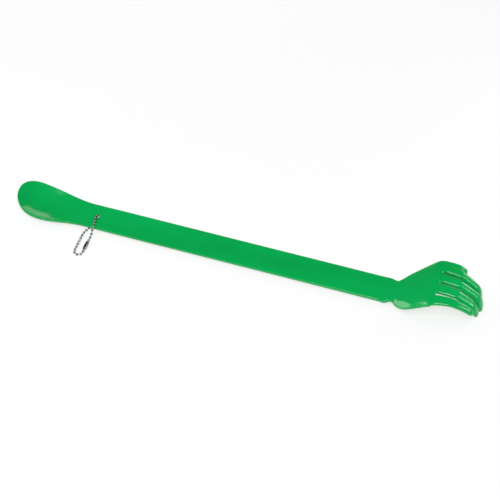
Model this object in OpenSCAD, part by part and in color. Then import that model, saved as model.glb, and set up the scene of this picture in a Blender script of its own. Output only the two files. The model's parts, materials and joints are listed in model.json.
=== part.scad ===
// Moulded back scratcher: a hand-shaped claw on a strip handle, a shoehorn blade at the far end,
// and a ball chain looped through a hang hole. +X runs from the blade to the fingertips, +Y to the
// thumb's side, +Z up. The part lies on its blade and fingertips, with the origin under the middle
// of its box.

/* [Handle] */
// Length from the blade's tip to the fingertips
overall_len = 419; // [390:1:470]
// Width of the strip handle
strip_w = 26.2; // [22:0.2:30]
// Thickness of the strip and the back of the hand
wall_t = 3.4; // [2.8:0.1:3.8]
// Rounding of the wall's long edges
edge_r = 1.1; // [0.6:0.1:1.2]
// Height of the strip's underside above the table
strip_lift = 3; // [2.8:0.1:5]

/* [Shoehorn blade] */
// Widest width of the blade
blade_w = 39; // [33:0.5:44]
// Distance from the tip to the widest place
blade_wide_x = 20; // [16:0.5:28]
// Distance from the tip to where the flare meets the strip
flare_x = 66; // [56:1:69]
// Depth of the dished trough across the blade
dish_depth = 4.6; // [3.8:0.1:6]
// Upward sweep of the blade's tip
tip_rise = 9; // [5:0.5:12]
// Thickness of the blade's wall, which runs on past the hang hole
blade_t = 3.1; // [2.8:0.1:3.4]

/* [Hand] */
// Length from the wrist notch to the fingertips
hand_len = 75.5; // [70:0.5:84]
// Width of the wrist between its two notches
wrist_w = 21.8; // [18:0.2:24]
// Rise of the back of the hand, in degrees
back_slope = 28; // [22:1:32]
// Distance from the hand's axis to the heel on the little finger's side
heel_y = 20; // [18:0.1:22]
// Distance from the hand's axis to the web of the thumb
thumb_web_y = 29.8; // [27:0.1:32]
// Thickness of a finger
finger_t = 4.5; // [4:0.1:5.5]

/* [Hang hole and chain] */
// Distance from the tip to the hang hole
hole_x = 73.5; // [72:0.5:90]
// Diameter of the hang hole
hole_d = 4.2; // [3.6:0.1:5]
// Diameter of a chain bead
bead_d = 2.4; // [2.2:0.1:2.5]
// Wall of a hollow bead
bead_wall = 0.2; // [0.15:0.01:0.25]
// Distance between beads along the chain
bead_pitch = 3.4; // [3.3:0.05:3.6]
// Diameter of the holes in a bead
bead_hole_d = 0.7; // [0.6:0.02:0.74]
// Diameter of a link's heads
head_d = 0.84; // [0.8:0.02:0.88]
// Distance from a bead's centre to the head inside it
head_seat = 0.65; // [0.62:0.01:0.66]
// Diameter of a link's wire
wire_d = 0.36; // [0.3:0.02:0.4]
// Clearance between the chain and the strip
chain_gap = 0.15; // [0.1:0.05:0.4]
// Swing of the chain to each side of rest, in degrees
swing_limit = 15; // [5:1:20]
// Clearance between a swinging strand and the strip's edge
swing_gap = 0.3; // [0.2:0.05:0.6]
// Distance between the loop's two strands
loop_w = 7.55; // [6:0.05:9]
// Distance between the two end beads inside the connector
clasp_span = 6.7; // [6:0.1:7.5]
// Wall of the connector's sheet
clasp_wall = 0.3; // [0.2:0.05:0.4]
// Width of the connector's open seam
clasp_slot = 0.9; // [0.6:0.1:1.2]
// Clearance between an end bead and the connector's cup
clasp_gap = 0.12; // [0.08:0.01:0.2]

/* [Hidden] */
green = "#00a850";
nickel = "#c9ccce";
$fn = 48;

// Heights, from the table
strip_top = strip_lift + wall_t;
blade_lift = strip_lift + (wall_t - blade_t) / 2;
blade_top = blade_lift + blade_t;
wrist_x = overall_len - hand_len;

// Helpers: a smooth step, a mix of two values, and a smooth curve through a few points
function ease(a, b, x) = let (t = max(0, min(1, (x - a) / (b - a)))) t * t * (3 - 2 * t);
function mix(a, b, t) = a + (b - a) * t;
function slope_at(p, i) =
    i == 0 || i == len(p) - 1 ? 0 : (p[i + 1][1] - p[i - 1][1]) / (p[i + 1][0] - p[i - 1][0]);
function span_at(p, x, i = 0) = i >= len(p) - 2 || x < p[i + 1][0] ? i : span_at(p, x, i + 1);
function curve(p, x) =
    let (
        i = span_at(p, x),
        h = p[i + 1][0] - p[i][0],
        t = max(0, min(1, (x - p[i][0]) / h)),
        a = slope_at(p, i) * h,
        b = slope_at(p, i + 1) * h
    )
    p[i][1] * (1 - t) * (1 - t) * (1 + 2 * t) + p[i + 1][1] * t * t * (3 - 2 * t)
    + a * t * (1 - t) * (1 - t) - b * t * t * (1 - t);

// A closed skin over rings of points, with flat ends
module skin(rings) {
    k = len(rings);
    m = len(rings[0]);
    sides = [
        for (i = [0:k - 2], j = [0:m - 1])
            let (a = i * m + j, b = i * m + (j + 1) % m)
            each [[a, b, b + m], [a, b + m, a + m]]
    ];
    first = [for (j = [m - 1:-1:0]) j];
    last = [for (j = [0:m - 1]) (k - 1) * m + j];
    polyhedron(points = [for (r = rings) each r], faces = concat([first, last], sides));
}

// A bent line in the XZ plane: each bend is [length, angle at its end], turning evenly
bend_steps = 4;
function bent(at, bends, i = 0, j = 0) =
    i == len(bends) ? [at] :
    let (
        from = i == 0 ? at[2] : bends[i - 1][1],
        turn = (bends[i][1] - from) / bend_steps,
        mid = from + turn * (j + 0.5),
        step = bends[i][0] / bend_steps,
        done = j == bend_steps - 1,
        next = [at[0] + step * cos(mid), at[1] + step * sin(mid), from + turn * (j + 1)]
    )
    concat([at], bent(next, bends, done ? i + 1 : i, done ? 0 : j + 1));
function last_of(list) = list[len(list) - 1];

// Blade: half width, upward sweep, dish and rim along X
sweep_x = 46;
sweep_power = 2.7;
blade_power = 2.4;
dish_lead = 8;
dish_tail = 4;
dish_start = blade_wide_x + dish_lead;
dish_end = flare_x + dish_tail;
function blade_half(x) =
    x < blade_wide_x
    ? blade_w / 2 * sqrt(max(0, 1 - pow((blade_wide_x - x) / blade_wide_x, blade_power)))
    : mix(blade_w, strip_w, ease(blade_wide_x, flare_x, x)) / 2;
function sweep(x) = tip_rise * pow(max(0, 1 - x / sweep_x), sweep_power);
function dish_fade(x) = 1 - ease(dish_start, dish_end, x);
// The trough goes down until its underside just meets the table
trough_xs = [blade_wide_x / 2:1:flare_x - 2];
trough_drop = min([for (x = trough_xs) (blade_lift + sweep(x)) / dish_fade(x)]);
rim_rise = dish_depth - trough_drop;

// Hand: the bent line of its back, and its two edges as distances from the axis. The palm's plate
// follows the line into the knuckles' bend and then turns down as the web between the fingers.
wrist_lead = 12;
knuckle_slope = 4;
knuckle_run = 12;
palm_run = 2.2;
palm_slope = mix(back_slope, knuckle_slope, palm_run / knuckle_run);
rise_bends = [[9, back_slope / 2 - 2], [9, back_slope - 4], [13, back_slope - 2], [13, back_slope]];
back_start = [wrist_x - wrist_lead, strip_top, 0];
back_line = bent(back_start, concat(rise_bends, [[knuckle_run, knuckle_slope]]));
palm_line = bent(back_start, concat(rise_bends, [[palm_run, palm_slope], [5, -34]]));
knuckle = last_of(back_line);
palm_crown = 1.0;
palm_tilt = 0.06;
near_edge = [
    [-wrist_lead, strip_w / 2], [-6, strip_w / 2 + 0.6], [-3.6, strip_w / 2 - 0.7],
    [-1.6, wrist_w / 2 + 0.8], [0.8, wrist_w / 2 + 2.2], [3.4, heel_y - 4], [7.5, heel_y - 1.2],
    [13, heel_y], [27, heel_y - 1.6], [34, heel_y - 2.2], [38, heel_y - 3.2], [52, heel_y - 6]
];
far_edge = [
    [-wrist_lead, strip_w / 2], [-6, strip_w / 2 - 0.2], [0, wrist_w / 2 - 0.1],
    [2.5, wrist_w / 2 + 0.5], [10, wrist_w / 2 + 6.8], [20, thumb_web_y - 5.8],
    [30, thumb_web_y - 0.9], [38, thumb_web_y], [46, thumb_web_y - 1], [52, thumb_web_y - 4]
];

// Plate stations: [x, z, angle, low y, high y, rim lift, dish, crown, wall]
tip_steps = 10;
flare_steps = 9;
tip_start = 0.08;
tip_round = 1.6;
tip_thin = 0.4;
// Past the hang hole the blade's wall swells to the strip's
swell_start = hole_x + 4;
swell_end = hole_x + 16;
swell_steps = 4;
function blade_station(x) =
    let (
        h = blade_half(x),
        fade = dish_fade(x),
        deep = pow(min(1, 2 * h / blade_w), 2),
        full = mix(blade_t, wall_t, ease(swell_start, swell_end, x)),
        w = full * mix(tip_thin, 1, ease(-tip_round / 2, tip_round, x)),
        z = strip_top - (wall_t - w) / 2
    )
    [x, z, 0, -h, h, rim_rise * fade + sweep(x), dish_depth * fade * deep, 0, w];
crown_run = 25;
function hand_station(s) =
    let (d = s[0] - wrist_x)
    [s[0], s[1], s[2], -curve(near_edge, d), curve(far_edge, d), 0, 0, ease(0, crown_run, d), wall_t];
function tip_x(t) = blade_wide_x * (1 - cos(90 * mix(tip_start, 1, t)));
plate_stations = concat(
    [for (i = [0:tip_steps]) blade_station(tip_x(i / tip_steps))],
    [for (i = [1:flare_steps]) blade_station(mix(blade_wide_x, dish_end, i / flare_steps))],
    [for (i = [0:swell_steps]) blade_station(mix(swell_start, swell_end, i / swell_steps))],
    [for (s = palm_line) hand_station(s)]
);

// A plate station's ring: top, rounded edge, underside, rounded edge
top_steps = 3;
function plate_ring(s) =
    let (
        mid = (s[3] + s[4]) / 2,
        half = (s[4] - s[3]) / 2,
        r = min(edge_r, half * 0.7, s[8] * 0.45),
        us = [for (i = [-top_steps:top_steps]) i / top_steps],
        dish = function(u) s[5] - s[6] * (1 - u * u),
        crown = function(u, y) s[7] * (palm_crown * (1 - u * u) + palm_tilt * y),
        top = [for (u = us) let (y = mid + (half - r) * u) [y, dish(u) + crown(u, y)]],
        low = [for (i = [2 * top_steps:-1:0]) top[i] - [0, s[8]]],
        right = [for (a = [45, 0]) last_of(top) + [r * cos(a), r * sin(a) - r]],
        right_low = [for (a = [0, -45]) low[0] + [r * cos(a), r * sin(a) + r]],
        left_low = [for (a = [-45, 0]) last_of(low) + [-r * cos(a), r * sin(a) + r]],
        left = [for (a = [0, 45]) top[0] + [-r * cos(a), r * sin(a) - r]]
    )
    [
        for (p = concat(top, right, right_low, low, left_low, left))
            [s[0] - sin(s[2]) * p[1], p[0], s[1] + cos(s[2]) * p[1]]
    ];

// Digits: each sweeps a rounded section along a bent line from under the knuckles to its tip.
// [back from the knuckles, root y, tip y, root width, tip width, thickness, tip height, end angle]
index = [10, 22.3, 15.6, 8.8, 7, finger_t, 0.6, -88];
middle = [10, 12.2, 7.4, 9.2, 7.4, finger_t, 0.1, -88];
ring = [10, 2.4, -0.8, 8.8, 7.2, finger_t, 2.6, -88];
pinky = [11, -10.6, -7, 12.2, 6, finger_t - 0.9, 10.2, -80];
thumb = [11, 26.8, 27.8, 8.4, 7.6, finger_t + 1, 17.2, -66];
index_bends = [[8, -2], [11, -8], [3, -32], [9, -40], [7, -78]];
middle_bends = [[8, -1], [12, -7], [3, -30], [9, -36], [8, -76]];
ring_bends = [[8, -3], [11.2, -8], [3, -30], [9, -36], [8, -76]];
pinky_bends = [[9, 1], [9, -7], [4, -22], [12, -36]];
thumb_bends = [[6, 1], [7.5, -7], [4, -28]];
digits = [
    [index, index_bends], [middle, middle_bends], [ring, ring_bends],
    [pinky, pinky_bends], [thumb, thumb_bends]
];

// A digit starts just under the palm's skin and rises a little more steeply than the palm does
root_sink = 0.35;
root_rise = 8;
function digit_root(d) =
    let (
        x = knuckle[0] - d[0],
        near = [for (s = back_line) if (s[0] <= x) s],
        after = [for (s = back_line) if (s[0] > x) s][0],
        before = last_of(near),
        t = (x - before[0]) / (after[0] - before[0])
    )
    [
        x, mix(before[1], after[1], t) + palm_tilt * d[1] - root_sink,
        mix(before[2], after[2], t) + root_rise
    ];

// The digits stretch together until the middle finger's bulge reaches the part's length
tip_bulge = 1.3;
middle_root = digit_root(middle);
middle_reach = last_of(bent([0, 0, middle_root[2]], middle_bends))[0];
finger_stretch = (overall_len - middle_root[0]) / (middle_reach + tip_bulge);
function digit_line(d, bends) =
    let (
        long = [for (b = bends) [b[0] * finger_stretch, b[1]]],
        e = last_of(bent(digit_root(d), long)),
        down = (e[1] - d[6]) / -sin((e[2] + d[7]) / 2)
    )
    bent(digit_root(d), concat(long, [[down, d[7]]]));
tip_factors = [0.36, 0.8, 0.96];
section_sides = 14;
side_power = 0.5;
back_power = 0.62;
taper_power = 1.5;
function digit_rings(d, bends) =
    let (line = digit_line(d, bends), n = len(line) - 1)
    [
        for (i = [0:n])
            let (
                p = line[i],
                s = i / n,
                f = n - i < len(tip_factors) ? tip_factors[n - i] : 1,
                y = mix(d[1], d[2], pow(s, taper_power)),
                w = mix(d[3], d[4], s) * f,
                t = d[5] * f
            )
            [
                for (j = [0:section_sides - 1])
                    let (
                        a = 90 - 360 * j / section_sides,
                        side = sign(cos(a)) * pow(abs(cos(a)), side_power) * w / 2,
                        out = sign(sin(a)) * pow(abs(sin(a)), back_power) * t / 2 - d[5] / 2
                    )
                    [p[0] - sin(p[2]) * out, y + side, p[1] + cos(p[2]) * out]
            ]
    ];

module scratcher_body() {
    color(green)
    place() difference() {
        union() {
            skin([for (s = plate_stations) plate_ring(s)]);
            for (d = digits) skin(digit_rings(d[0], d[1]));
        }
        translate([hole_x, 0, strip_lift - wall_t]) cylinder(d = hole_d, h = 3 * wall_t);
    }
}

// Chain route, measured from the hang hole's axis, before the part is placed
bead_r = bead_d / 2;
ride = bead_r + chain_gap;
over_z = blade_top + ride;
turn_r = 1.6;
strand_lean = 1.4;
far_x = strand_lean - loop_w;
drop_angle = 55;
landing_r = 4;
arc_steps = 6;

// Strand A leaves the hole's top, crosses the strip, rolls over its edge and lands on the table
swing_room = strip_w / 2 * (1 / cos(swing_limit) - 1) + swing_gap;
edge_y = -(strip_w / 2 - edge_r + swing_room);
edge_z = blade_top - edge_r;
roll_r = over_z - edge_z;
roll_end = [edge_y - roll_r * sin(drop_angle), edge_z + roll_r * cos(drop_angle)];
landing_z = bead_r + landing_r * (1 - cos(drop_angle));
landing_y = roll_end[0] - (roll_end[1] - landing_z) / tan(drop_angle);
touch_y = landing_y - landing_r * sin(drop_angle);
function lean_x(y) = strand_lean * ease(turn_r, strip_w / 2, -y);
function on_a(y, z) = [lean_x(y), y, z];
a_route = concat(
    [for (i = [arc_steps:-1:0])
        let (t = drop_angle * i / arc_steps)
        let (y = touch_y + landing_r * sin(drop_angle - t))
        on_a(y, bead_r + landing_r * (1 - cos(drop_angle - t)))],
    [for (i = [arc_steps:-1:0])
        let (t = drop_angle * i / arc_steps)
        on_a(edge_y - roll_r * sin(t), edge_z + roll_r * cos(t))],
    [for (i = [0:arc_steps])
        let (t = 90 * i / arc_steps)
        on_a(-turn_r + turn_r * sin(t), over_z - turn_r + turn_r * cos(t))]
);
// Strand B leaves the hole's underside and runs out between the strip and the table
b_end_y = strip_w / 2 + 7;
b_route = concat(
    [for (i = [0:arc_steps])
        let (t = 90 * i / arc_steps)
        [0, -turn_r + turn_r * cos(t), bead_r + turn_r - turn_r * sin(t)]],
    [for (i = [1:2 * arc_steps])
        let (y = mix(turn_r, b_end_y, i / (2 * arc_steps)))
        [far_x * ease(turn_r, b_end_y, y), -y, bead_r]]
);

// Beads stand at even steps along the route. The chain has a set count, so what the strip doesn't
// take up lies on the table, as far as the rows of links that lift.
head_links = 17;
function lengths(p, i = 0, sum = 0) =
    i == len(p) ? [] :
    let (l = i == 0 ? 0 : sum + norm(p[i] - p[i - 1]))
    concat([l], lengths(p, i + 1, l));
row_y = (head_links * bead_pitch - last_of(lengths(concat(a_route, b_route))) + b_end_y - touch_y) / 2;
head_route = concat([[strand_lean, -row_y, bead_r]], a_route, b_route, [[far_x, -row_y, bead_r]]);
head_lengths = lengths(head_route);
function along(p, l, at) =
    let (
        i = min(len(p) - 2, max(0, len([for (v = l) if (v <= at) v]) - 1)),
        t = (at - l[i]) / (l[i + 1] - l[i])
    )
    mix(p[i], p[i + 1], t);
clasp_r = bead_r + clasp_gap + clasp_wall;
clasp_y = -(row_y + bead_pitch);
tail_links = 9;
bend_r = loop_w / 2;
tail_run = ((tail_links - 1) * bead_pitch - clasp_span - PI * bend_r) / 2;
function tail_point(at) =
    let (turn = PI * bend_r, a = (at - tail_run) / bend_r * 180 / PI, y0 = clasp_y - clasp_span)
    at < tail_run ? [strand_lean, y0 - at, mix(clasp_r, bead_r, at / bead_pitch)]
    : at < tail_run + turn
    ? [strand_lean - bend_r + bend_r * cos(a), y0 - tail_run - bend_r * sin(a), bead_r]
    : [far_x, y0 - tail_run + at - tail_run - turn, bead_r];

// Every bead in order round the loop, from one end bead in the clasp to the other
a_row = [strand_lean, -row_y, bead_r];
head_beads = [for (i = [1:head_links - 1]) along(head_route, head_lengths, i * bead_pitch)];
b_row = [far_x, -row_y, bead_r];
tail_beads = [for (i = [tail_links - 1:-1:0]) tail_point(i * bead_pitch)];
beads = concat([[strand_lean, clasp_y, clasp_r], a_row], head_beads, [b_row], tail_beads);
bead_count = len(beads);
bead_nodes = [for (i = [1:bead_count]) str("chain_bead_", i)];
link_nodes = [for (i = [1:bead_count - 1]) str("chain_link_", i)];

// The origin sits under the middle of the whole part's box
body_points = concat(
    [for (s = plate_stations) each plate_ring(s)],
    [for (d = digits, r = digit_rings(d[0], d[1])) each r]
);
low_y = min([for (b = beads) b[1]]) - bead_r;
high_y = max([for (p = body_points) p[1]]);
high_x = max([for (p = body_points) p[0]]);
low_x = min([for (p = body_points) p[0]]);
centre = [(low_x + high_x) / 2, (low_y + high_y) / 2, 0];
module place() { translate(-centre) children(); }
module on_chain() { place() translate([hole_x, 0, 0]) children(); }

// Turns +Z to point along a direction
module aim(v) { rotate([0, acos(v[2] / norm(v)), atan2(v[1], v[0])]) children(); }

// One hollow bead, pierced where its links leave it
module bead(i) {
    color(nickel)
    on_chain() translate(beads[i]) difference() {
        sphere(d = bead_d);
        sphere(d = bead_d - 2 * bead_wall);
        if (i > 0) aim(beads[i - 1] - beads[i]) cylinder(d = bead_hole_d, h = bead_d);
        if (i < bead_count - 1) aim(beads[i + 1] - beads[i]) cylinder(d = bead_hole_d, h = bead_d);
    }
}

// One dumbbell link: a wire with a round head inside each of its two beads
module link(i) {
    step = beads[i + 1] - beads[i];
    wire_len = norm(step) - 2 * head_seat;
    color(nickel)
    on_chain() translate(beads[i]) aim(step) translate([0, 0, head_seat]) {
        sphere(d = head_d);
        cylinder(d = wire_d, h = wire_len);
        translate([0, 0, wire_len]) sphere(d = head_d);
    }
}

// The folded clasp: a split tube with a pierced cup at each end, open along its top
clasp_waist = 0.35;
clasp_window_d = 1.9;
module chain_connector() {
    cup_r = bead_r + clasp_gap;
    slot_len = clasp_span + 4 * clasp_r;
    color(nickel)
    on_chain() translate([strand_lean, clasp_y, clasp_r]) rotate([90, 0, 0]) difference() {
        union() {
            sphere(r = clasp_r);
            cylinder(r = clasp_r, h = clasp_span);
            translate([0, 0, clasp_span]) sphere(r = clasp_r);
        }
        cylinder(r = cup_r - clasp_waist, h = clasp_span);
        for (z = [0, clasp_span]) translate([0, 0, z]) {
            sphere(r = cup_r);
            rotate([-90, 0, 0]) cylinder(d = clasp_window_d, h = 2 * clasp_r);
        }
        translate([-clasp_slot / 2, 0, -2 * clasp_r]) cube([clasp_slot, 2 * clasp_r, slot_len]);
        translate([0, 0, -2 * clasp_r]) cylinder(d = clasp_slot, h = slot_len);
    }
}

scratcher_body();
chain_connector();
for (i = [0:bead_count - 1]) bead(i);
for (i = [0:bead_count - 2]) link(i);
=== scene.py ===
import json
import math

import bpy
import numpy as np
from mathutils import Matrix


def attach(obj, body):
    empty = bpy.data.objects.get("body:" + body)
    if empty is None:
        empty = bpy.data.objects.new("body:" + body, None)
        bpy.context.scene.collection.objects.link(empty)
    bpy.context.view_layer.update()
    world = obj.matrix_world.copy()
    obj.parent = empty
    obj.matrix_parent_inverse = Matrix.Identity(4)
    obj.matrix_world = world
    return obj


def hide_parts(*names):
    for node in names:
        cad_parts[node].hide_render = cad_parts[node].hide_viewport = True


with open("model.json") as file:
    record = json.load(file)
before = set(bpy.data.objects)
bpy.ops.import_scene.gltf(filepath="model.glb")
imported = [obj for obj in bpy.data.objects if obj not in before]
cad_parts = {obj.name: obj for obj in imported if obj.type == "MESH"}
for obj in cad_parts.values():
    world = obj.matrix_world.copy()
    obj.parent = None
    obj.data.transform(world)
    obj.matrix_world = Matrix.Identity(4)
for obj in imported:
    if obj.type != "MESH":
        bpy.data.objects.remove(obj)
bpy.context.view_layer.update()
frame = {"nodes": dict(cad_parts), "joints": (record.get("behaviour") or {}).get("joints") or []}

mm = 0.001

# Sizes of the moulding, in mm, measured along X from the blade's tip
handle = {
    "length": 419, "width": 26.2, "wall": 3.4, "edgeRound": 1.1, "lift": 3,
    "holeX": 73.5, "holeWidth": 4.2, "holeLip": 0.45,
}
stripTop = handle["lift"] + handle["wall"]

blade = {
    "width": 39, "widestX": 20, "flareX": 66, "dish": 4.6, "tipRise": 9,
    "sweepX": 46, "sweepPower": 2.7, "outlinePower": 2.4,
    "dishStart": 28, "dishEnd": 70, "tipRound": 1.6, "tipThin": 0.4,
    "wall": 3.1, "swellStart": 77.5, "swellEnd": 89.5, "lean": 0.09,
}
bladeLift = handle["lift"] + (handle["wall"] - blade["wall"]) / 2

hand = {
    "length": 75.5, "lead": 12, "crown": 1.0, "tilt": 0.06, "crownRun": 25,
    "rise": [(9, 12), (9, 24), (13, 26), (13, 28)], "knuckle": (12, 4), "palm": [(2.2, 23.6), (5, -34)],
    "rootSink": 0.35, "rootRise": 8, "tipBulge": 1.3, "taper": 1.5,
    "sideSquare": 0.5, "backSquare": 0.62,
    "roll": {"start": (-2, 3), "end": (9, 19), "wide": 10, "narrow": 3.4, "slope": 0.36},
}
wristX = handle["length"] - hand["length"]

# Each digit: distance back from the knuckles, sideways place, width, thickness, tip height, end angle and
# bends as (length, end angle). A digit whose sideways move isn't the hand's taper power has its own.
digits = {
    "index": {"back": 10, "y": (22.4, 15.8), "width": (8.7, 6.8), "thick": 5.8, "tip": 0.6, "end": -88,
              "bends": [(8, 0), (7.6, -5), (3, -28), (12.2, -35), (7.2, -78)]},
    "middle": {"back": 10, "y": (12, 7.2), "width": (9.3, 7.3), "thick": 5.9, "tip": 0.1, "end": -88,
               "bends": [(8, 0), (8.6, -4), (3, -26), (12.2, -31), (8.3, -76)]},
    "ring": {"back": 10, "y": (1, -1.2), "width": (10.3, 7), "thick": 4.2, "tip": 2.6, "end": -88,
             "bends": [(8, -2), (8.8, -5), (3, -27), (11.2, -34), (8.2, -76)]},
    "pinky": {"back": 11, "y": (-12.2, -7.4), "width": (11.8, 4.7), "thick": 3.6, "tip": 10.2,
              "end": -80, "bends": [(9, 2), (6, -3), (4, -19), (13.6, -39)], "taper": 1},
    "thumb": {"back": 11, "y": (26.8, 27.8), "width": (8.4, 7.6), "thick": 5.5, "tip": 17.2, "end": -66,
              "bends": [(6, 1), (7.5, -7), (4, -28)]},
}

# The hang hole's axis is the swing joint's, so the moulding's own X and Y start from it
swing = next(j for j in frame["joints"] if j["name"] == "chain_swing")
holeAxis = np.array(swing["pos_m"]) / mm
shift = np.array([holeAxis[0] - handle["holeX"], holeAxis[1], 0])
print("frame loaded, hole axis at", holeAxis.round(2))


def ease(a, b, x):  # smooth step from 0 at a to 1 at b
    t = np.clip((x - a) / (b - a), 0, 1)
    return t * t * (3 - 2 * t)


def mix(a, b, t):
    return a + (b - a) * t


def squared(v, power):  # keeps the sign; an oval's sides grow flatter as the power falls
    return np.sign(v) * np.abs(v) ** power


def throughPoints(points, x):  # cubic through the points, level at both ends, slopes from the neighbours
    p = np.array(points, float)
    slope = np.zeros(len(p))
    slope[1:-1] = (p[2:, 1] - p[:-2, 1]) / (p[2:, 0] - p[:-2, 0])
    i = np.clip(np.searchsorted(p[:, 0], x, side="right") - 1, 0, len(p) - 2)
    h = p[i + 1, 0] - p[i, 0]
    t = np.clip((x - p[i, 0]) / h, 0, 1)
    ends = p[i, 1] * (1 - t) ** 2 * (1 + 2 * t) + p[i + 1, 1] * t * t * (3 - 2 * t)
    return ends + slope[i] * h * t * (1 - t) ** 2 - slope[i + 1] * h * t * t * (1 - t)


def bentLine(start, bends, steps):  # arcs end to end: each turns evenly from the last angle to its own
    lengths = np.array([b[0] for b in bends], float)
    knots = np.concatenate([[0], np.cumsum(lengths)])
    angles = np.concatenate([[start[2]], [b[1] for b in bends]])
    inner = knots[:-1, None] + lengths[:, None] * np.arange(steps) / steps
    s = np.concatenate([inner.ravel(), knots[-1:]])
    angle = np.interp(s, knots, angles)
    middle = np.radians((angle[1:] + angle[:-1]) / 2)
    step = np.diff(s)
    x = start[0] + np.concatenate([[0], np.cumsum(step * np.cos(middle))])
    z = start[1] + np.concatenate([[0], np.cumsum(step * np.sin(middle))])
    return np.stack([x, z, angle], 1)


def gridFaces(rows, columns, start=0):  # quads over a grid of closed rings, and a flat face on each end
    i, j = np.meshgrid(np.arange(rows - 1), np.arange(columns), indexing="ij")
    a = start + i * columns + j
    b = start + i * columns + (j + 1) % columns
    quads = np.stack([a, a + columns, b + columns, b], -1).reshape(-1, 4)
    first = start + np.arange(columns)
    last = start + (rows - 1) * columns + np.arange(columns)[::-1]
    return quads.tolist() + [first.tolist(), last.tolist()]


def linked(name, data):
    obj = bpy.data.objects.new(name, data)
    bpy.context.collection.objects.link(obj)
    return obj


def meshFrom(name, points, faces):  # points in mm on the moulding's own axes
    mesh = bpy.data.meshes.new(name)
    mesh.from_pydata(((points + shift) * mm).tolist(), [], faces)
    mesh.update()
    return linked(name, mesh)


# The plate: blade, strip and palm are one wall whose section changes along X. The palm's two edges are
# (distance past the wrist, distance from the middle line).
plate = {
    "tipSteps": 48, "tipStart": 0.04, "flareSteps": 60, "stripSteps": 30, "bendSteps": 12,
    "troughStep": 1.0, "troughGap": 2, "across": 28, "round": 7, "edgeShare": 0.7, "wallShare": 0.45,
}
nearEdge = [
    (-12, 13.1), (-6, 13.7), (-3.6, 12.4), (-1.6, 11.7), (0.8, 13.1), (3.4, 16), (7.5, 18.7),
    (13, 19.8), (27, 18.1), (31, 18), (35, 17.6), (40, 14), (52, 10),
]
farEdge = [
    (-12, 13.1), (-6, 12.9), (0, 10.8), (2.5, 12.2), (10, 18.4), (20, 24.2), (30, 29.4), (38, 30.4),
    (46, 28.8), (52, 25.8),
]


def bladeSweep(x):  # the tip's rise, which is gone at sweepX
    return blade["tipRise"] * np.clip(1 - x / blade["sweepX"], 0, 1) ** blade["sweepPower"]


def bladeFade(x):  # 1 where the dish is whole, 0 where the strip is flat
    return 1 - ease(blade["dishStart"], blade["dishEnd"], x)


def bladeStations():  # half width swells to the widest place, then eases into the strip; the tip sweeps up
    turn = np.radians(90 * mix(plate["tipStart"], 1, np.linspace(0, 1, plate["tipSteps"])))
    tip = blade["widestX"] * (1 - np.cos(turn))
    flare = np.linspace(blade["widestX"], blade["dishEnd"], plate["flareSteps"])[1:]
    strip = np.linspace(blade["dishEnd"], wristX - hand["lead"], plate["stripSteps"])[1:-1]
    x = np.concatenate([tip, flare, strip])
    toTip = np.clip((blade["widestX"] - x) / blade["widestX"], 0, 1)
    wide = mix(blade["width"], handle["width"], ease(blade["widestX"], blade["flareX"], x)) / 2
    half = wide * np.sqrt(1 - toTip ** blade["outlinePower"])
    fade = bladeFade(x)
    trough = np.arange(blade["widestX"] / 2, blade["flareX"] - plate["troughGap"], plate["troughStep"])
    drop = np.min((bladeLift + bladeSweep(trough)) / bladeFade(trough))  # the dish just meets the table
    full = mix(blade["wall"], handle["wall"], ease(blade["swellStart"], blade["swellEnd"], x))
    wall = full * mix(blade["tipThin"], 1, ease(-blade["tipRound"] / 2, blade["tipRound"], x))
    deep = np.minimum(1, 2 * half / blade["width"]) ** 2
    zero = np.zeros_like(x)
    return np.stack([
        x, stripTop - (handle["wall"] - wall) / 2, zero, -half, half,
        (blade["dish"] - drop) * fade + bladeSweep(x), blade["dish"] * fade * deep, zero, wall,
    ], 1)


backStart = (wristX - hand["lead"], stripTop, 0)
backLine = bentLine(backStart, hand["rise"] + [hand["knuckle"]], plate["bendSteps"])
knuckleX = backLine[-1, 0]


def palmStations():  # the back of the hand's bent line, between the two edges
    line = bentLine(backStart, hand["rise"] + hand["palm"], plate["bendSteps"])
    along = line[:, 0] - wristX
    zero = np.zeros(len(line))
    return np.stack([
        *line.T, -throughPoints(nearEdge, along), throughPoints(farEdge, along),
        zero, zero, ease(0, hand["crownRun"], along), zero + handle["wall"],
    ], 1)


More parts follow.
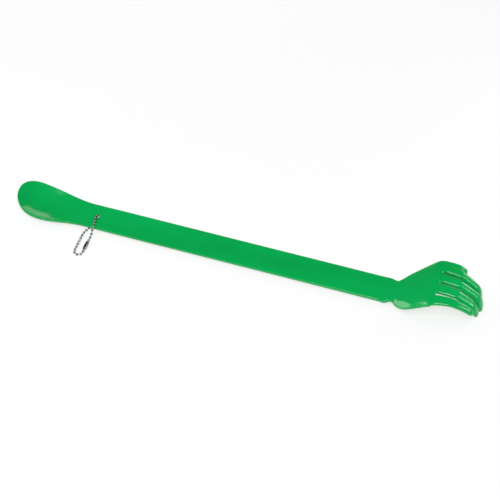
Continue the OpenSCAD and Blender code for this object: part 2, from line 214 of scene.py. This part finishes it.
def plateRings(stations):  # each ring: top, rounded edge, underside, rounded edge
    x, z, angle, low, high, lift, dish, crown, wall = stations.T[:, :, None]
    middle = (low + high) / 2
    half = (high - low) / 2
    roll = hand["roll"]
    wide = mix(roll["wide"], roll["narrow"], ease(*roll["end"], x - wristX))
    drop = roll["slope"] * wide / 2 * ease(*roll["start"], x - wristX)
    r = np.minimum(handle["edgeRound"], half * plate["edgeShare"])
    r = np.minimum(r, (wall - drop) * plate["wallShare"])
    u = np.linspace(-1, 1, plate["across"])[None]
    y = middle + (half - r) * u
    # The wall is dished or crowned by a parabola, and the top rolls off by another at the palm's heel
    under = lift - dish * (1 - u * u) + crown * (hand["crown"] * (1 - u * u) + hand["tilt"] * y) - wall
    top = under + wall - drop * np.clip(1 - (y - low) / wide, 0, 1) ** 2
    a = np.radians(np.linspace(90, 0, plate["round"] + 1)[1:])[None]
    upper = (r * np.cos(a), r * np.sin(a) - r)
    rightY = np.concatenate([y[:, -1:] + upper[0], y[:, -1:] + upper[0][:, ::-1]], 1)
    rightZ = np.concatenate([top[:, -1:] + upper[1], under[:, -1:] - upper[1][:, ::-1]], 1)
    leftY = np.concatenate([y[:, :1] - upper[0], y[:, :1] - upper[0][:, ::-1]], 1)
    leftZ = np.concatenate([under[:, :1] - upper[1], top[:, :1] + upper[1][:, ::-1]], 1)
    across = np.concatenate([y, rightY, y[:, ::-1], leftY], 1)
    up = np.concatenate([top, rightZ, under[:, ::-1], leftZ], 1)
    # The blade's outline leans in proportion to the distance across, with the far side nearer the tip
    lean = blade["lean"] * across * (1 - ease(blade["widestX"], blade["flareX"], x))
    tilt = np.radians(angle)
    return np.stack([x - lean - np.sin(tilt) * up, across, z + np.cos(tilt) * up], -1)


def digitRoot(d):  # on the back of the hand, a little under its skin
    x = knuckleX - d["back"]
    height = np.interp(x, backLine[:, 0], backLine[:, 1]) + hand["tilt"] * d["y"][0] - hand["rootSink"]
    return (x, height, np.interp(x, backLine[:, 0], backLine[:, 2]) + hand["rootRise"])


# The digits' lengths stretch until the middle finger ends at the part's full length
digitSettings = {"bendSteps": 14, "sides": 40, "tipRound": 4.2, "tipPower": 2.4, "tipLeast": 0.1}
middleRoot = digitRoot(digits["middle"])
middleLine = bentLine((0, 0, middleRoot[2]), digits["middle"]["bends"], digitSettings["bendSteps"])
stretch = (handle["length"] - middleRoot[0]) / (middleLine[-1, 0] + hand["tipBulge"])


def digitRings(d):  # a squarish oval carried along the digit's bent line, drawn in to a round tip
    root = digitRoot(d)
    bends = [(length * stretch, angle) for length, angle in d["bends"]]
    end = bentLine(root, bends, digitSettings["bendSteps"])[-1]
    down = (end[1] - d["tip"]) / -math.sin(math.radians((end[2] + d["end"]) / 2))
    line = bentLine(root, bends + [(down, d["end"])], digitSettings["bendSteps"])
    step = np.hypot(np.diff(line[:, 0]), np.diff(line[:, 1]))
    s = np.concatenate([[0], np.cumsum(step)])
    toTip = np.clip((s[-1] - s) / digitSettings["tipRound"], 0, 1)
    area = np.clip(1 - (1 - toTip) ** digitSettings["tipPower"], digitSettings["tipLeast"] ** 2, 1)
    draw = np.sqrt(area)[:, None]
    t = (s / s[-1])[:, None]
    y = mix(d["y"][0], d["y"][1], t ** d.get("taper", hand["taper"]))
    width = mix(d["width"][0], d["width"][1], t) * draw
    a = np.radians(90 - 360 * np.arange(digitSettings["sides"]) / digitSettings["sides"])[None]
    side = squared(np.cos(a), hand["sideSquare"]) * width / 2
    out = squared(np.sin(a), hand["backSquare"]) * d["thick"] * draw / 2 - d["thick"] / 2
    tilt = np.radians(line[:, 2:])
    return np.stack([line[:, :1] - np.sin(tilt) * out, y + side, line[:, 1:2] + np.cos(tilt) * out], -1)


# One skin over the plate and the digits, so that every root runs into the palm with a soft fillet
skin = {"voxel": 0.6, "rounds": 7, "inward": 0.5, "outward": -0.52, "flat": 0.2}


def joinedSkin():
    parts = [plateRings(np.concatenate([bladeStations(), palmStations()]))]
    parts += [digitRings(d) for d in digits.values()]
    points, faces, count = [], [], 0
    for rings in parts:
        rows, columns = rings.shape[:2]
        faces += gridFaces(rows, columns, count)
        points.append(rings.reshape(-1, 3))
        count += rows * columns
    return meshFrom("scratcherSkin", np.concatenate(points), faces)


def applied(obj, modifier):
    with bpy.context.temp_override(object=obj, active_object=obj, selected_objects=[obj]):
        bpy.ops.object.modifier_apply(modifier=modifier.name)


def relaxed(points, edges):  # points move towards their neighbours' mean, then back a little more
    count = np.bincount(edges.ravel(), minlength=len(points))[:, None]
    for share in (skin["inward"], skin["outward"]) * skin["rounds"]:
        total = np.zeros_like(points)
        np.add.at(total, edges[:, 0], points[edges[:, 1]])
        np.add.at(total, edges[:, 1], points[edges[:, 0]])
        points = mix(points, total / count, share)
    return points


def meshPoints(mesh):
    points = np.empty(len(mesh.vertices) * 3)
    mesh.vertices.foreach_get("co", points)
    return points.reshape(-1, 3)


def meshEdges(mesh):
    edges = np.empty(len(mesh.edges) * 2, int)
    mesh.edges.foreach_get("vertices", edges)
    return edges.reshape(-1, 2)


hole = {"beyond": 1, "rings": 60, "turn": 5}


def holeCutter():  # a drill whose radius swells by a quarter round where it meets each face of the strip
    z = np.linspace(-hole["beyond"], blade["wall"] + hole["beyond"], hole["rings"])
    depth = np.minimum(z, blade["wall"] - z)
    lip = handle["holeLip"]
    swell = lip - np.sqrt(np.clip(lip ** 2 - np.clip(lip - depth, 0, lip) ** 2, 0, None))
    r = (handle["holeWidth"] / 2 + swell)[:, None]
    a = np.radians(np.arange(0, 360, hole["turn"]))[None]
    height = bladeLift + z[:, None] + 0 * a
    ring = np.stack([handle["holeX"] + r * np.cos(a), -r * np.sin(a), height], -1)
    return meshFrom("holeCutter", ring.reshape(-1, 3), gridFaces(*ring.shape[:2]))


def moulding():
    obj = joinedSkin()
    remesh = obj.modifiers.new("voxel", "REMESH")
    remesh.mode = "VOXEL"
    remesh.voxel_size = skin["voxel"] * mm
    remesh.adaptivity = 0
    applied(obj, remesh)
    mesh = obj.data
    points = relaxed(meshPoints(mesh), meshEdges(mesh))
    own = points / mm - shift
    inside = (own[:, 0] > blade["swellEnd"]) & (own[:, 0] < wristX - hand["lead"])
    for level in (handle["lift"], stripTop):  # the strip's two faces are truly flat
        flat = inside & (np.abs(own[:, 2] - level) < skin["flat"])
        flat &= np.abs(own[:, 1]) < handle["width"] / 2 - handle["edgeRound"]
        points[flat, 2] = level * mm
    mesh.vertices.foreach_set("co", points.ravel())
    mesh.update()
    cutter = holeCutter()
    drill = obj.modifiers.new("hole", "BOOLEAN")
    drill.operation = "DIFFERENCE"
    drill.solver = "EXACT"
    drill.object = cutter
    applied(obj, drill)
    bpy.data.objects.remove(cutter)
    mesh.polygons.foreach_set("use_smooth", np.ones(len(mesh.polygons), bool))
    print("moulding:", len(mesh.vertices), "points,", len(mesh.polygons), "faces")
    return obj


def nodeMaterial(name):
    material = bpy.data.materials.new(name)
    material.use_nodes = True
    return material, material.node_tree.nodes, material.node_tree.links


def addNode(nodes, kind, inputs=None, **settings):
    node = nodes.new(kind)
    for key, value in settings.items():
        setattr(node, key, value)
    for key, value in (inputs or {}).items():
        node.inputs[key].default_value = value
    return node


def addNoise(nodes, links, mapping, noise):  # noise in the object's own space, stretched by the mapping
    place = nodes.new("ShaderNodeTexCoord")
    stretched = addNode(nodes, "ShaderNodeMapping", mapping)
    texture = addNode(nodes, "ShaderNodeTexNoise", noise)
    links.new(place.outputs["Object"], stretched.inputs["Vector"])
    links.new(stretched.outputs["Vector"], texture.inputs["Vector"])
    return texture.outputs["Fac"]


def addTones(nodes, links, source, stops, socket):  # a ramp of (position, colour) from the source
    node = nodes.new("ShaderNodeValToRGB")
    elements = node.color_ramp.elements
    elements[0].position, elements[0].color = stops[0]
    elements[1].position, elements[1].color = stops[-1]
    for position, color in stops[1:-1]:
        elements.new(position).color = color
    links.new(source, node.inputs["Fac"])
    links.new(node.outputs["Color"], socket)


def addRange(nodes, links, source, fromRange, toRange, socket):
    names = ("From Min", "From Max", "To Min", "To Max")
    node = addNode(nodes, "ShaderNodeMapRange", dict(zip(names, (*fromRange, *toRange))))
    links.new(source, node.inputs["Value"])
    links.new(node.outputs["Result"], socket)


# Glossy green polypropylene: faint flow clouds from moulding, fine scratches, soft gloss changes
plastic = {
    "cloudMap": {"Scale": (0.35, 1, 1)}, "cloud": {"Scale": 26, "Detail": 3, "Roughness": 0.5},
    "tones": [(0.3, (0, 0.335, 0.062, 1)), (0.5, (0, 0.385, 0.077, 1)), (0.72, (0, 0.42, 0.095, 1))],
    "scratchMap": {"Scale": (0.06, 1, 1), "Rotation": (0, 0, 0.35)}, "scratch": {"Scale": 900, "Detail": 2},
    "scratchRange": (0.35, 0.7), "gloss": (0.1, 0.19), "ior": 1.49,
    "bump": {"Strength": 0.012, "Distance": 0.0002},
}


def greenPlastic():
    material, nodes, links = nodeMaterial("greenPlastic")
    shader = nodes["Principled BSDF"]
    shader.inputs["IOR"].default_value = plastic["ior"]
    cloud = addNoise(nodes, links, plastic["cloudMap"], plastic["cloud"])
    addTones(nodes, links, cloud, plastic["tones"], shader.inputs["Base Color"])
    scratch = addNoise(nodes, links, plastic["scratchMap"], plastic["scratch"])
    addRange(nodes, links, scratch, plastic["scratchRange"], plastic["gloss"], shader.inputs["Roughness"])
    bump = addNode(nodes, "ShaderNodeBump", plastic["bump"])
    links.new(scratch, bump.inputs["Height"])
    links.new(bump.outputs["Normal"], shader.inputs["Normal"])
    return material


# Nickel plate: mid grey with a hazed gloss; its dark rim tint is painted shade, darkening each bead's
# reflection towards its rim in place of dark surroundings and contact shadow
plating = {
    "haze": {"Scale": 420, "Detail": 4, "Roughness": 0.6}, "hazeRange": (0.3, 0.7), "gloss": (0.32, 0.22),
    "tones": [(0.32, (0.3, 0.33, 0.3, 1)), (0.55, (0.4, 0.44, 0.4, 1))], "rim": (0.16, 0.18, 0.16, 1),
}


def nickelPlate():
    material, nodes, links = nodeMaterial("nickelPlate")
    shader = nodes["Principled BSDF"]
    shader.inputs["Metallic"].default_value = 1
    # Painted shade: the dark specular tint darkens each bead's reflection towards its rim
    shader.inputs["Specular Tint"].default_value = plating["rim"]
    haze = addNoise(nodes, links, {}, plating["haze"])
    addTones(nodes, links, haze, plating["tones"], shader.inputs["Base Color"])
    addRange(nodes, links, haze, plating["hazeRange"], plating["gloss"], shader.inputs["Roughness"])
    return material


green = greenPlastic()
nickel = nickelPlate()
body = moulding()
body.data.materials.clear()
body.data.materials.append(green)
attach(body, "scratcher")
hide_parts("scratcher_body")

for name, obj in frame["nodes"].items():
    if name.startswith("chain"):
        obj.data.materials.clear()
        obj.data.materials.append(nickel)
print("materials on", len(frame["nodes"]), "nodes")


def axesFrom(azimuth, elevation):  # right, up and back of what looks at the part from there
    a = math.radians(azimuth)
    e = math.radians(elevation)
    right = np.array([math.cos(a), math.sin(a), 0])
    back = np.array([math.sin(a) * math.cos(e), -math.cos(a) * math.cos(e), math.sin(e)])
    return right, np.cross(back, right), back


def placed(name, data, axes, place):
    obj = linked(name, data)
    matrix = np.eye(4)
    matrix[:3] = np.stack([*axes, place], 1)
    obj.matrix_world = Matrix(matrix)
    return obj


# The camera looks down from beyond the near side; the wrist lies at a known place in the picture
view = {
    "azimuth": 18.2, "elevation": 50, "focal": 1801, "depth": 1523.7, "picture": 500, "sensor": 36,
    "wristPixel": (394.8, 291.0),
}


def addCamera():
    right, up, back = axesFrom(view["azimuth"], view["elevation"])
    wrist = np.array([wristX, 0, stripTop]) + shift
    pixel = np.array(view["wristPixel"]) - view["picture"] / 2
    over, under = pixel / view["focal"] * view["depth"]
    eye = (wrist + back * view["depth"] - right * over + up * under) * mm
    data = bpy.data.cameras.new("photoCamera")
    data.sensor_width = view["sensor"]
    data.lens = view["focal"] / view["picture"] * view["sensor"]
    bpy.context.scene.camera = placed("photoCamera", data, (right, up, back), eye)


addCamera()

# A pale floor that is white to the eye and in reflections, and keeps a faint shadow
floor = {
    "size": 60, "color": (0.96, 0.96, 0.96, 1), "glow": 0.72, "glowColor": (1, 1, 1, 1), "strength": 1,
}


def addFloor():
    corners = np.array([(-1, -1, 0), (1, -1, 0), (1, 1, 0), (-1, 1, 0)]) * floor["size"] / 2
    mesh = bpy.data.meshes.new("floor")
    mesh.from_pydata(corners.tolist(), [], [(0, 1, 2, 3)])
    obj = linked("floor", mesh)
    material, nodes, links = nodeMaterial("floorPaper")
    nodes.remove(nodes["Principled BSDF"])
    matte = addNode(nodes, "ShaderNodeBsdfDiffuse", {"Color": floor["color"]})
    glowInputs = {"Color": floor["glowColor"], "Strength": floor["strength"]}
    glow = addNode(nodes, "ShaderNodeEmission", glowInputs)
    rays = nodes.new("ShaderNodeLightPath")
    seen = rays.outputs["Is Camera Ray"]
    for kind in ("Is Glossy Ray", "Is Transmission Ray"):
        either = addNode(nodes, "ShaderNodeMath", operation="MAXIMUM")
        links.new(seen, either.inputs[0])
        links.new(rays.outputs[kind], either.inputs[1])
        seen = either.outputs[0]
    share = addNode(nodes, "ShaderNodeMath", {1: floor["glow"]}, operation="MULTIPLY")
    both = nodes.new("ShaderNodeMixShader")
    links.new(seen, share.inputs[0])
    links.new(share.outputs[0], both.inputs["Fac"])
    links.new(matte.outputs["BSDF"], both.inputs[1])
    links.new(glow.outputs["Emission"], both.inputs[2])
    links.new(both.outputs["Shader"], nodes["Material Output"].inputs["Surface"])
    mesh.materials.append(material)


addFloor()

# Soft boxes round the part: the place they face, azimuth and elevation from it, distance, size, power
lamps = {
    "overhead": {"faces": (0, 0), "from": (13, 61), "far": 1.6, "size": (0.7, 0.6), "watts": 15},
    "fingersNear": {
        "faces": (0.19, 0.01), "from": (125, 31), "far": 0.4, "size": (0.05, 0.19), "watts": 0.2},
    "fingersFar": {
        "faces": (0.19, 0.01), "from": (147, 18), "far": 0.4, "size": (0.07, 0.18), "watts": 0.25},
    "blade": {
        "faces": (-0.18, -0.01), "from": (184, 13), "far": 0.6, "size": (0.32, 0.18), "watts": 0.27},
    "chain": {
        "faces": (-0.135, -0.03), "from": (290, 55), "far": 0.5, "size": (0.24, 0.24), "watts": 0.36},
    "left": {"faces": (0.15, 0), "from": (258, 30), "far": 1.6, "size": (0.6, 0.4), "watts": 2.8},
}


def addLamps():
    for name, s in lamps.items():
        axes = axesFrom(*s["from"])
        data = bpy.data.lights.new(name, "AREA")
        data.shape = "RECTANGLE"
        data.size, data.size_y = s["size"]
        data.energy = s["watts"]
        lamp = placed(name, data, axes, np.array([*s["faces"], 0]) + axes[2] * s["far"])
        lamp.visible_camera = False


addLamps()

# The room: a plain even fill, dimmer in reflections so that the gloss doesn't grey the green
room = {"color": (1, 1, 1, 1), "fill": 0.36, "glossy": 0.05}


def addRoom():
    world = bpy.data.worlds.new("room")
    bpy.context.scene.world = world
    world.use_nodes = True
    nodes, links = world.node_tree.nodes, world.node_tree.links
    background = nodes["Background"]
    background.inputs["Color"].default_value = room["color"]
    rays = nodes.new("ShaderNodeLightPath")
    level = (room["fill"], room["glossy"])
    addRange(nodes, links, rays.outputs["Is Glossy Ray"], (0, 1), level, background.inputs["Strength"])


addRoom()
bpy.context.scene.view_settings.view_transform = "Standard"
print("stage set")
